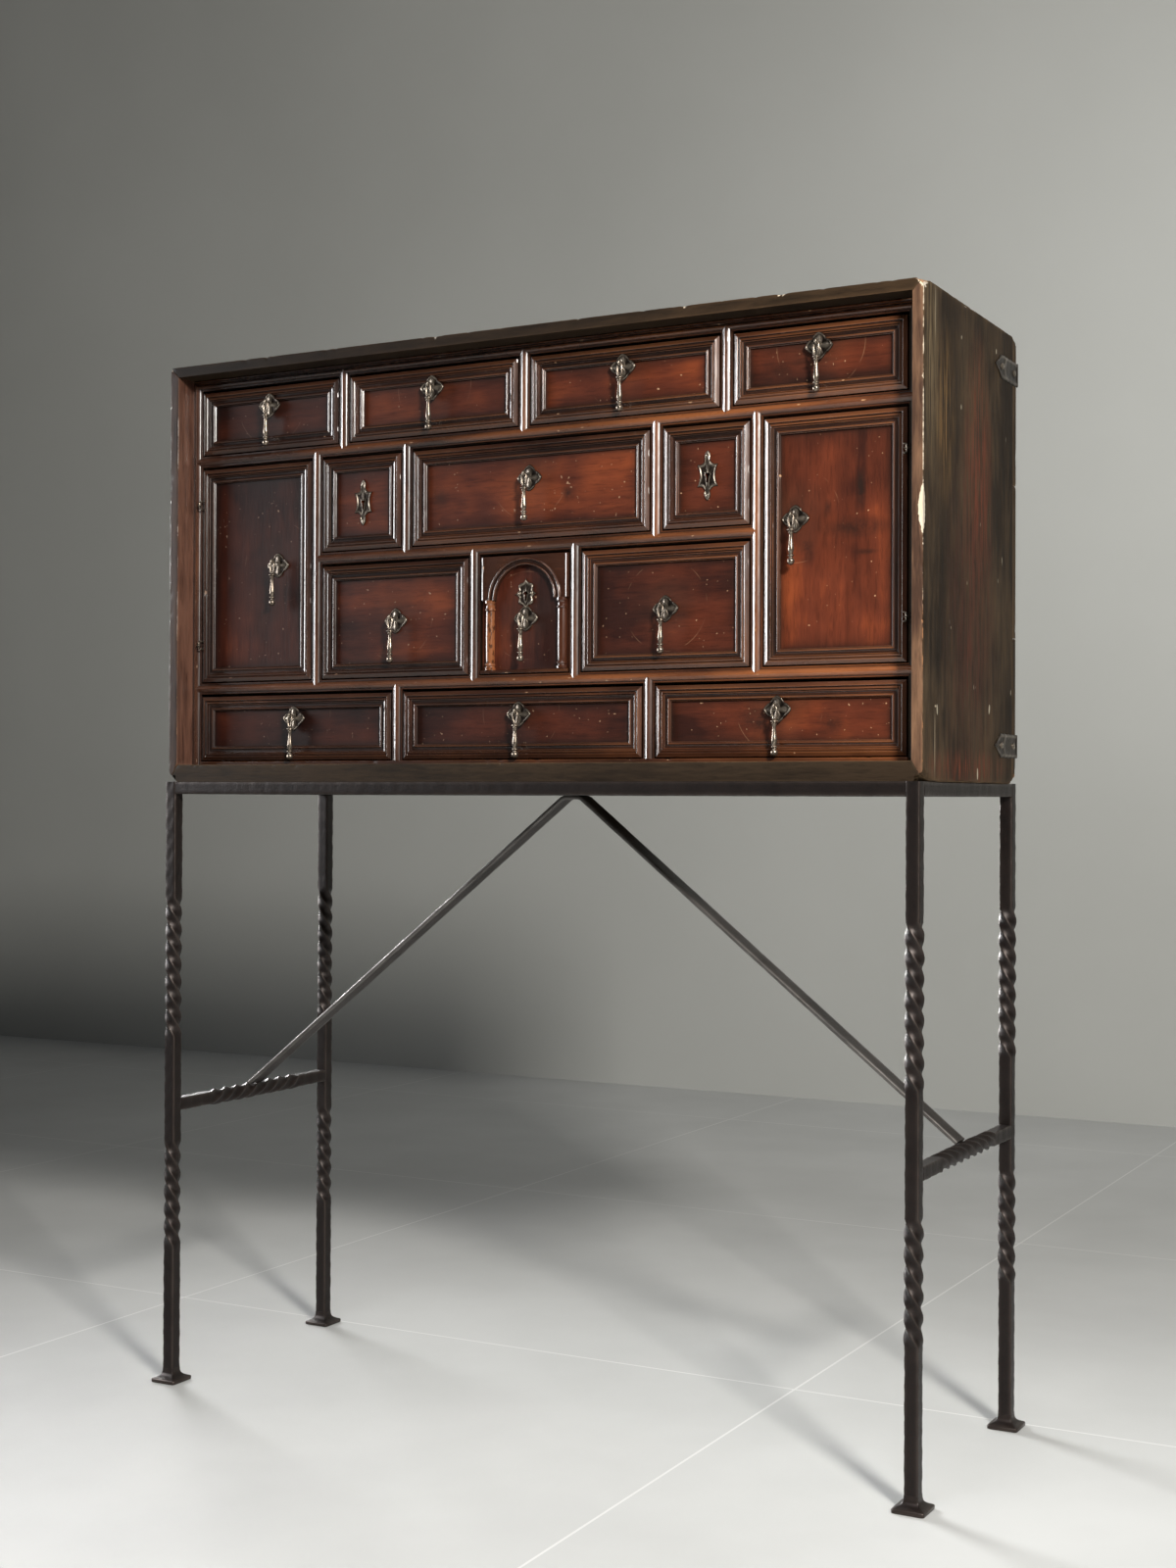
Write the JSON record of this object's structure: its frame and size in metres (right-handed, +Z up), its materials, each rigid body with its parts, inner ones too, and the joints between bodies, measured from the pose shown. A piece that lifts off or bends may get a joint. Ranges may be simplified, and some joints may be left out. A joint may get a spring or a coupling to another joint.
{
  "type": "cabinet on stand",
  "caption": "Vargueno: a walnut cabinet of small drawers and two cupboards with iron drop pulls, on a forged iron stand with twisted legs and diagonal braces.",
  "frame": {"origin": "on the floor, under the middle of the stand", "axes": "+X along the front to the viewer's right, +Y from the front to the back, +Z up"},
  "size_m": [1.05, 0.374, 1.321],
  "materials": {
    "walnut_case": "old walnut, dark olive-brown with worn arrises, waxed, semi-matt",
    "plain_inner_wood": "plain unvarnished walnut and pine, dusty",
    "walnut_mouldings": "dark walnut mouldings, rubbed bright along the noses",
    "walnut_fronts": "red-brown waxed walnut with darker frames, scratched",
    "bright_iron": "turned iron, worn bright",
    "dark_iron_fittings": "dark hammered iron with bright edges",
    "wrought_iron": "forged iron, near black with a brown tint"
  },
  "bodies": {
    "case_and_stand": {"left_side_board": "walnut_case", "right_side_board": "walnut_case", "top_board": "walnut_case", "bottom_board": "walnut_case", "back_board": "plain_inner_wood", "linings_and_shelves": "plain_inner_wood", "partitions": "plain_inner_wood", "frame_mouldings": "walnut_mouldings", "rail_and_divider_mouldings": "walnut_mouldings", "door_hinge_eyes": "dark_iron_fittings", "corner_straps": "dark_iron_fittings", "stand_legs": "wrought_iron", "stand_feet": "wrought_iron", "stand_top_frame": "wrought_iron", "stand_stretchers": "wrought_iron", "stand_braces": "wrought_iron"},
    "top_drawer_1": {"top_drawer_1": "walnut_fronts", "top_drawer_1_handle_plate": "dark_iron_fittings"},
    "top_drawer_1_pull": {"top_drawer_1_handle_drop": "bright_iron"},
    "top_drawer_2": {"top_drawer_2": "walnut_fronts", "top_drawer_2_handle_plate": "dark_iron_fittings"},
    "top_drawer_2_pull": {"top_drawer_2_handle_drop": "bright_iron"},
    "top_drawer_3": {"top_drawer_3": "walnut_fronts", "top_drawer_3_handle_plate": "dark_iron_fittings"},
    "top_drawer_3_pull": {"top_drawer_3_handle_drop": "bright_iron"},
    "top_drawer_4": {"top_drawer_4": "walnut_fronts", "top_drawer_4_handle_plate": "dark_iron_fittings"},
    "top_drawer_4_pull": {"top_drawer_4_handle_drop": "bright_iron"},
    "small_left_drawer": {"small_left_drawer": "walnut_fronts", "small_left_drawer_lock": "dark_iron_fittings"},
    "middle_drawer": {"middle_drawer": "walnut_fronts", "middle_drawer_handle_plate": "dark_iron_fittings"},
    "middle_drawer_pull": {"middle_drawer_handle_drop": "bright_iron"},
    "small_right_drawer": {"small_right_drawer": "walnut_fronts", "small_right_drawer_lock": "dark_iron_fittings"},
    "third_row_left_drawer": {"third_row_left_drawer": "walnut_fronts", "third_row_left_drawer_handle_plate": "dark_iron_fittings"},
    "third_row_left_drawer_pull": {"third_row_left_drawer_handle_drop": "bright_iron"},
    "third_row_right_drawer": {"third_row_right_drawer": "walnut_fronts", "third_row_right_drawer_handle_plate": "dark_iron_fittings"},
    "third_row_right_drawer_pull": {"third_row_right_drawer_handle_drop": "bright_iron"},
    "base_drawer_1": {"base_drawer_1": "walnut_fronts", "base_drawer_1_handle_plate": "dark_iron_fittings"},
    "base_drawer_1_pull": {"base_drawer_1_handle_drop": "bright_iron"},
    "base_drawer_2": {"base_drawer_2": "walnut_fronts", "base_drawer_2_handle_plate": "dark_iron_fittings"},
    "base_drawer_2_pull": {"base_drawer_2_handle_drop": "bright_iron"},
    "base_drawer_3": {"base_drawer_3": "walnut_fronts", "base_drawer_3_handle_plate": "dark_iron_fittings"},
    "base_drawer_3_pull": {"base_drawer_3_handle_drop": "bright_iron"},
    "arch_drawer": {"arch_drawer": "walnut_fronts", "arch_surround": "walnut_fronts", "arch_drawer_ironwork": "dark_iron_fittings"},
    "arch_drawer_pull": {"arch_drawer_handle_drop": "bright_iron"},
    "left_door": {"left_door": "walnut_fronts", "left_door_ironwork": "dark_iron_fittings"},
    "left_door_pull": {"left_door_handle_drop": "bright_iron"},
    "right_door": {"right_door": "walnut_fronts", "right_door_ironwork": "dark_iron_fittings"},
    "right_door_pull": {"right_door_handle_drop": "bright_iron"}
  },
  "joints": [
    {"name": "top_drawer_1_slide", "type": "slide", "parent": "case_and_stand", "child": "top_drawer_1", "axis": [0, -1, 0], "range_m": [0, 0.22]},
    {"name": "top_drawer_1_pull_swing", "type": "hinge", "parent": "top_drawer_1", "child": "top_drawer_1_pull", "pos_m": [-0.37788, -0.146, 1.26937], "axis": [-1, 0, 0], "range_deg": [0, 110]},
    {"name": "top_drawer_2_slide", "type": "slide", "parent": "case_and_stand", "child": "top_drawer_2", "axis": [0, -1, 0], "range_m": [0, 0.22]},
    {"name": "top_drawer_2_pull_swing", "type": "hinge", "parent": "top_drawer_2", "child": "top_drawer_2_pull", "pos_m": [-0.1295, -0.146, 1.26937], "axis": [-1, 0, 0], "range_deg": [0, 110]},
    {"name": "top_drawer_3_slide", "type": "slide", "parent": "case_and_stand", "child": "top_drawer_3", "axis": [0, -1, 0], "range_m": [0, 0.22]},
    {"name": "top_drawer_3_pull_swing", "type": "hinge", "parent": "top_drawer_3", "child": "top_drawer_3_pull", "pos_m": [0.1355, -0.146, 1.26937], "axis": [-1, 0, 0], "range_deg": [0, 110]},
    {"name": "top_drawer_4_slide", "type": "slide", "parent": "case_and_stand", "child": "top_drawer_4", "axis": [0, -1, 0], "range_m": [0, 0.22]},
    {"name": "top_drawer_4_pull_swing", "type": "hinge", "parent": "top_drawer_4", "child": "top_drawer_4_pull", "pos_m": [0.38188, -0.146, 1.26937], "axis": [-1, 0, 0], "range_deg": [0, 110]},
    {"name": "small_left_drawer_slide", "type": "slide", "parent": "case_and_stand", "child": "small_left_drawer", "axis": [0, -1, 0], "range_m": [0, 0.22]},
    {"name": "middle_drawer_slide", "type": "slide", "parent": "case_and_stand", "child": "middle_drawer", "axis": [0, -1, 0], "range_m": [0, 0.22]},
    {"name": "middle_drawer_pull_swing", "type": "hinge", "parent": "middle_drawer", "child": "middle_drawer_pull", "pos_m": [0.007, -0.146, 1.14915], "axis": [-1, 0, 0], "range_deg": [0, 110]},
    {"name": "small_right_drawer_slide", "type": "slide", "parent": "case_and_stand", "child": "small_right_drawer", "axis": [0, -1, 0], "range_m": [0, 0.22]},
    {"name": "third_row_left_drawer_slide", "type": "slide", "parent": "case_and_stand", "child": "third_row_left_drawer", "axis": [0, -1, 0], "range_m": [0, 0.22]},
    {"name": "third_row_left_drawer_pull_swing", "type": "hinge", "parent": "third_row_left_drawer", "child": "third_row_left_drawer_pull", "pos_m": [-0.1845, -0.146, 0.98425], "axis": [-1, 0, 0], "range_deg": [0, 110]},
    {"name": "third_row_right_drawer_slide", "type": "slide", "parent": "case_and_stand", "child": "third_row_right_drawer", "axis": [0, -1, 0], "range_m": [0, 0.22]},
    {"name": "third_row_right_drawer_pull_swing", "type": "hinge", "parent": "third_row_right_drawer", "child": "third_row_right_drawer_pull", "pos_m": [0.19, -0.146, 0.98425], "axis": [-1, 0, 0], "range_deg": [0, 110]},
    {"name": "base_drawer_1_slide", "type": "slide", "parent": "case_and_stand", "child": "base_drawer_1", "axis": [0, -1, 0], "range_m": [0, 0.22]},
    {"name": "base_drawer_1_pull_swing", "type": "hinge", "parent": "base_drawer_1", "child": "base_drawer_1_pull", "pos_m": [-0.33687, -0.146, 0.86462], "axis": [-1, 0, 0], "range_deg": [0, 110]},
    {"name": "base_drawer_2_slide", "type": "slide", "parent": "case_and_stand", "child": "base_drawer_2", "axis": [0, -1, 0], "range_m": [0, 0.22]},
    {"name": "base_drawer_2_pull_swing", "type": "hinge", "parent": "base_drawer_2", "child": "base_drawer_2_pull", "pos_m": [-0.004, -0.146, 0.86462], "axis": [-1, 0, 0], "range_deg": [0, 110]},
    {"name": "base_drawer_3_slide", "type": "slide", "parent": "case_and_stand", "child": "base_drawer_3", "axis": [0, -1, 0], "range_m": [0, 0.22]},
    {"name": "base_drawer_3_pull_swing", "type": "hinge", "parent": "base_drawer_3", "child": "base_drawer_3_pull", "pos_m": [0.33287, -0.146, 0.86462], "axis": [-1, 0, 0], "range_deg": [0, 110]},
    {"name": "arch_drawer_slide", "type": "slide", "parent": "case_and_stand", "child": "arch_drawer", "axis": [0, -1, 0], "range_m": [0, 0.22]},
    {"name": "arch_drawer_pull_swing", "type": "hinge", "parent": "arch_drawer", "child": "arch_drawer_pull", "pos_m": [0.003, -0.146, 0.98025], "axis": [-1, 0, 0], "range_deg": [0, 110]},
    {"name": "left_door_hinge", "type": "hinge", "parent": "case_and_stand", "child": "left_door", "pos_m": [-0.4869, -0.1438, 1.051], "axis": [0, 0, -1], "range_deg": [0, 105]},
    {"name": "left_door_pull_swing", "type": "hinge", "parent": "left_door", "child": "left_door_pull", "pos_m": [-0.36625, -0.146, 1.0625], "axis": [-1, 0, 0], "range_deg": [0, 110]},
    {"name": "right_door_hinge", "type": "hinge", "parent": "case_and_stand", "child": "right_door", "pos_m": [0.4869, -0.1438, 1.051], "axis": [0, 0, 1], "range_deg": [0, 105]},
    {"name": "right_door_pull_swing", "type": "hinge", "parent": "right_door", "child": "right_door_pull", "pos_m": [0.35225, -0.146, 1.0785], "axis": [-1, 0, 0], "range_deg": [0, 110]}
  ]
}
